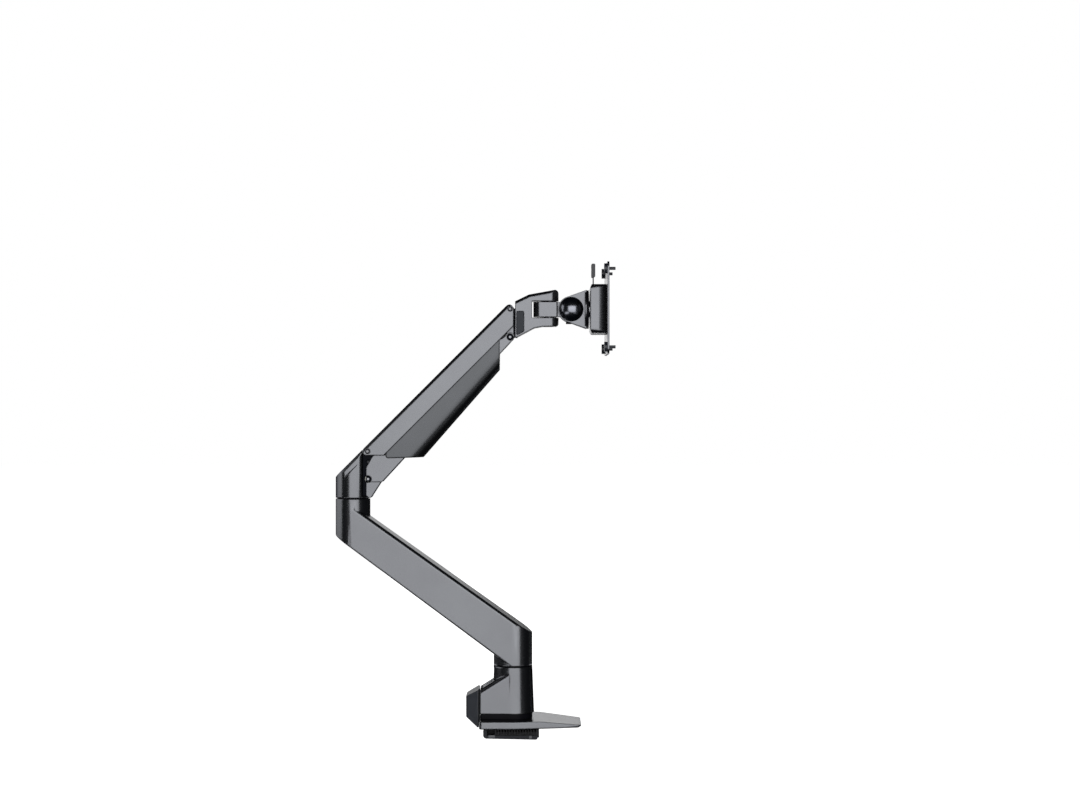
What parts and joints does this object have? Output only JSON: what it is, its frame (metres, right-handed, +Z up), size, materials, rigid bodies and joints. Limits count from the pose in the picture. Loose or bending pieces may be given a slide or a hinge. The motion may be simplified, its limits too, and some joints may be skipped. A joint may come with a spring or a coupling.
{
  "type": "monitor arm",
  "caption": "Desk-clamped screen arm: swivelling lower arm, sprung parallelogram upper arm, and a head that swivels, tilts and rotates a square screen plate.",
  "frame": {"origin": "the base swivel axis on the plane where the base stands on the desk", "axes": "+X from the elbow towards the screen, normal to the screen plate at rest; +Z up along the swivel axes; Y across the arm"},
  "size_m": [0.3617, 0.118, 0.6134],
  "materials": {
    "cast": "satin charcoal powder coat over cast aluminium",
    "dark_plastic": "fine matte moulded plastic",
    "black": "black plastic",
    "pad": "ribbed rubber",
    "gloss": "polished near-black cap",
    "steel": "zinc-plated steel",
    "dark_steel": "dark coated steel",
    "bronze": "bronze",
    "nylon": "self-lubricating nylon",
    "light_plastic": "light grey plastic"
  },
  "bodies": {
    "base": {"base_plate": "cast", "desk_pad": "pad", "base_plinth": "black", "base_housing": "cast", "rear_cover": "dark_plastic", "screw_access_plate": "light_plastic", "base_plate_screws": "steel", "base_spindle": "steel", "base_thrust_washer": "black", "base_cap_washer": "steel", "base_cap_bolt": "steel"},
    "clamp_jaw": {"clamp_jaw": "dark_steel", "jaw_pad": "pad", "jaw_stops": "light_plastic", "clamp_nut": "bronze"},
    "clamp_screw": {"clamp_screw": "steel"},
    "lower_arm": {"lower_arm": "cast", "cable_cover": "dark_plastic", "base_bushes": "nylon", "elbow_spindle": "steel", "elbow_thrust_washer": "black", "elbow_cap_washer": "steel", "elbow_cap_bolt": "steel"},
    "shoulder": {"shoulder": "cast", "elbow_bush": "nylon", "shoulder_pin_bushes": "nylon", "strut_anchor_pin": "steel"},
    "upper_link": {"upper_link": "cast", "upper_link_pins": "steel", "gas_strut_tube": "dark_steel", "strut_gland": "black", "strut_front_eye": "steel", "strut_front_pin": "steel"},
    "tension_screw": {"tension_screw": "steel"},
    "strut_rod": {"strut_rod": "steel", "strut_rod_end": "dark_steel"},
    "lower_link": {"lower_link": "cast", "lower_link_pins": "steel", "shroud": "dark_plastic", "shroud_screws": "steel"},
    "front_bracket": {"front_bracket": "cast", "bracket_inserts": "dark_plastic", "bracket_bush": "nylon", "head_swivel_bolt": "steel", "swivel_washers": "black"},
    "swivel_tongue": {"swivel_tongue": "cast", "tongue_bush": "nylon"},
    "tilt_screw": {"tilt_tension_screw": "black"},
    "tilt_bracket": {"tilt_bracket": "cast", "tilt_axle": "steel", "tilt_domes": "gloss", "pivot_disc": "black"},
    "quick_release": {"quick_release_block": "cast", "rotation_hub": "steel", "rotation_bolt": "steel", "release_spring": "steel"},
    "release_pull": {"release_pull": "dark_plastic"},
    "screen_plate": {"vesa_plate": "dark_steel", "thumb_screws": "dark_plastic"}
  },
  "joints": [
    {"name": "clamp_travel", "type": "slide", "parent": "base", "child": "clamp_jaw", "axis": [0, 0, 1], "range_m": [-0.032, 0]},
    {"name": "clamp_screw_turn", "type": "hinge", "parent": "base", "child": "clamp_screw", "pos_m": [-0.0285, 0, 0.045], "axis": [0, 0, 1], "range_deg": [0, 5760]},
    {"name": "base_swivel", "type": "hinge", "parent": "base", "child": "lower_arm", "pos_m": [0, 0, 0.077], "axis": [0, 0, 1], "range_deg": [-90, 90]},
    {"name": "elbow_swivel", "type": "hinge", "parent": "lower_arm", "child": "shoulder", "pos_m": [-0.208, 0, 0.2938], "axis": [0, 0, 1], "range_deg": [-180, 180]},
    {"name": "arm_lift", "type": "hinge", "parent": "shoulder", "child": "upper_link", "pos_m": [-0.1874, 0, 0.3549], "axis": [0, -1, 0], "range_deg": [-75, 0]},
    {"name": "lower_link_swing", "type": "hinge", "parent": "shoulder", "child": "lower_link", "pos_m": [-0.1874, 0, 0.3189], "axis": [0, -1, 0], "range_deg": [-75, 0]},
    {"name": "bracket_level", "type": "hinge", "parent": "upper_link", "child": "front_bracket", "pos_m": [-0.00355, 0, 0.53875], "axis": [0, -1, 0], "range_deg": [0, 75]},
    {"name": "strut_stroke", "type": "slide", "parent": "upper_link", "child": "strut_rod", "axis": [0.7071, 0, 0.7071], "range_m": [0, 0.017]},
    {"name": "tension_screw_turn", "type": "hinge", "parent": "upper_link", "child": "tension_screw", "pos_m": [-0.03184, 0, 0.51046], "axis": [-0.7071, 0, 0.7071], "range_deg": [-1080, 1080]},
    {"name": "head_swivel", "type": "hinge", "parent": "front_bracket", "child": "swivel_tongue", "pos_m": [0.04635, 0, 0.53875], "axis": [0, 0, 1], "range_deg": [-90, 90]},
    {"name": "tilt_screw_turn", "type": "hinge", "parent": "swivel_tongue", "child": "tilt_screw", "pos_m": [0.07245, 0, 0.52375], "axis": [0, 0, 1], "range_deg": [-360, 360]},
    {"name": "head_tilt", "type": "hinge", "parent": "swivel_tongue", "child": "tilt_bracket", "pos_m": [0.07545, 0, 0.53875], "axis": [0, -1, 0], "range_deg": [-45, 60]},
    {"name": "head_rotate", "type": "hinge", "parent": "tilt_bracket", "child": "quick_release", "pos_m": [0.09535, 0, 0.53875], "axis": [1, 0, 0], "range_deg": [-90, 90]},
    {"name": "release_pull_lift", "type": "slide", "parent": "quick_release", "child": "release_pull", "axis": [0, 0, 1], "range_m": [0, 0.005], "stiffness_N_per_m": 400, "springref_m": -0.008, "deforming": ["release_spring"]},
    {"name": "plate_lift_off", "type": "slide", "parent": "quick_release", "child": "screen_plate", "axis": [0, 0, 1], "range_m": [0, 0.012]}
  ],
  "couplings": [
    {"joint": "clamp_screw_turn", "follows": "clamp_travel", "rad_per_m": -3141.5},
    {"joint": "lower_link_swing", "follows": "arm_lift", "ratio": 1},
    {"joint": "bracket_level", "follows": "arm_lift", "ratio": -1},
    {"joint": "strut_stroke", "follows": "arm_lift", "m_per_rad": -0.01291}
  ]
}
